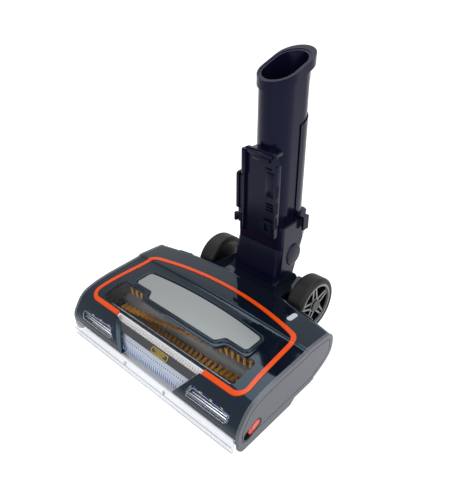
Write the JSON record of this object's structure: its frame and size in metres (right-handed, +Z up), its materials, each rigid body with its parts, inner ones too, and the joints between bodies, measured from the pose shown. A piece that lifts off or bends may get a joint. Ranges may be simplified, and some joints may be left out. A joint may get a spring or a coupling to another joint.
{
  "type": "vacuum floor brush head",
  "caption": "Powered vacuum cleaner floor head with soft roller, bristle brush, clear window, lamps, rear wheels and a reclining, swivelling oval neck.",
  "frame": {"origin": "centre of the bounding box in plan, on the floor", "axes": "+X across the head towards the release button, +Y from the nose to the wheels, +Z up"},
  "size_m": [0.3, 0.3104, 0.3372],
  "materials": {
    "deck_dark": "gloss",
    "orange_trim": "gloss",
    "clear_comb": "clear",
    "smoky_window": "smoky clear",
    "silver_plaque": "satin",
    "clear_front": "clear",
    "badge": "gloss",
    "lamp_clear": "clear",
    "lamp_chrome": "polished",
    "lamp_board": "satin",
    "indicator": "gloss",
    "panel_grey": "satin",
    "cup_dark": "satin",
    "button_red": "satin",
    "sole_black": "matt",
    "seal_rubber": "matt",
    "roller_grey": "satin",
    "soft_fibre": "soft pile",
    "bristle_orange": "bristle",
    "bearing_white": "satin",
    "pulley_grey": "satin",
    "belt_rubber": "matt",
    "motor_steel": "brushed",
    "axle_steel": "brushed",
    "tyre_rubber": "matt",
    "hub_chrome": "satin chrome",
    "neck_navy": "gloss",
    "socket_black": "matt"
  },
  "bodies": {
    "head": {"axle_left": "axle_steel", "axle_right": "axle_steel", "badge_plate": "badge", "brush_bush_left": "bearing_white", "brush_bush_right": "bearing_white", "button_cup": "cup_dark", "comb_strip": "clear_comb", "drive_motor": "motor_steel", "front_shield": "clear_front", "front_window": "clear_front", "indicator_lens": "indicator", "lamp_board_left": "lamp_board", "lamp_board_right": "lamp_board", "lamp_lens_left": "lamp_clear", "lamp_lens_right": "lamp_clear", "lamp_reflector_left": "lamp_chrome", "lamp_reflector_right": "lamp_chrome", "lid_crossbar": "deck_dark", "lid_frame": "deck_dark", "lid_plaque": "silver_plaque", "lid_window": "smoky_window", "loop_trim": "orange_trim", "motor_belt": "belt_rubber", "pivot_housing": "deck_dark", "rear_seal_strip": "seal_rubber", "roller_belt": "belt_rubber", "roller_bush_left": "bearing_white", "roller_bush_right": "bearing_white", "side_panel_left": "panel_grey", "side_panel_right": "panel_grey", "sole_chassis": "sole_black", "suction_duct": "sole_black", "top_housing": "deck_dark"},
    "release_button": {"release_button": "button_red"},
    "brush": {"brush_core": "roller_grey", "brush_bristles": "bristle_orange", "brush_pulley": "pulley_grey"},
    "soft_roller": {"roller_core": "roller_grey", "roller_sleeve": "soft_fibre", "roller_pulley": "pulley_grey"},
    "motor_rotor": {"motor_pulley": "pulley_grey"},
    "wheel_left": {"wheel_tyre_left": "tyre_rubber", "wheel_hub_left": "hub_chrome"},
    "wheel_right": {"wheel_tyre_right": "tyre_rubber", "wheel_hub_right": "hub_chrome"},
    "sole_roller_left": {"sole_roller_left": "sole_black"},
    "sole_roller_right": {"sole_roller_right": "sole_black"},
    "neck_yoke": {"neck_yoke": "neck_navy"},
    "neck_tube": {"swivel_collar": "neck_navy", "neck_tube": "neck_navy", "tube_cover": "neck_navy", "mouth_flange": "neck_navy", "latch_keeper": "neck_navy", "contact_socket": "socket_black", "clip_plate": "neck_navy", "clip_wing": "neck_navy", "clip_hook": "neck_navy", "clip_catch": "neck_navy", "cord_hook": "neck_navy"}
  },
  "joints": [
    {"name": "button_press", "type": "slide", "parent": "head", "child": "release_button", "axis": [-1, 0, 0], "range_m": [0, 0.002], "stiffness_N_per_m": 400},
    {"name": "brush_spin", "type": "hinge", "parent": "head", "child": "brush", "pos_m": [0, -0.0717, 0.0225], "axis": [1, 0, 0], "continuous": true},
    {"name": "roller_spin", "type": "hinge", "parent": "head", "child": "soft_roller", "pos_m": [0, -0.1182, 0.021], "axis": [1, 0, 0], "continuous": true},
    {"name": "motor_spin", "type": "hinge", "parent": "head", "child": "motor_rotor", "pos_m": [0, -0.0122, 0.036], "axis": [1, 0, 0], "continuous": true},
    {"name": "wheel_left_spin", "type": "hinge", "parent": "head", "child": "wheel_left", "pos_m": [-0.08, 0.0658, 0.038], "axis": [1, 0, 0], "continuous": true},
    {"name": "wheel_right_spin", "type": "hinge", "parent": "head", "child": "wheel_right", "pos_m": [0.08, 0.0658, 0.038], "axis": [1, 0, 0], "continuous": true},
    {"name": "sole_roller_left_spin", "type": "hinge", "parent": "head", "child": "sole_roller_left", "pos_m": [-0.105, -0.0342, 0.007], "axis": [1, 0, 0], "continuous": true},
    {"name": "sole_roller_right_spin", "type": "hinge", "parent": "head", "child": "sole_roller_right", "pos_m": [0.105, -0.0342, 0.007], "axis": [1, 0, 0], "continuous": true},
    {"name": "neck_recline", "type": "hinge", "parent": "head", "child": "neck_yoke", "pos_m": [0, 0.0658, 0.038], "axis": [-1, 0, 0], "range_deg": [0, 60]},
    {"name": "neck_swivel", "type": "hinge", "parent": "neck_yoke", "child": "neck_tube", "pos_m": [0, 0.0922, 0.038], "axis": [0, 0.068, 0.9977], "range_deg": [-30, 30]}
  ],
  "couplings": [
    {"joint": "roller_spin", "follows": "brush_spin", "ratio": 1},
    {"joint": "motor_spin", "follows": "brush_spin", "ratio": 1.5}
  ]
}
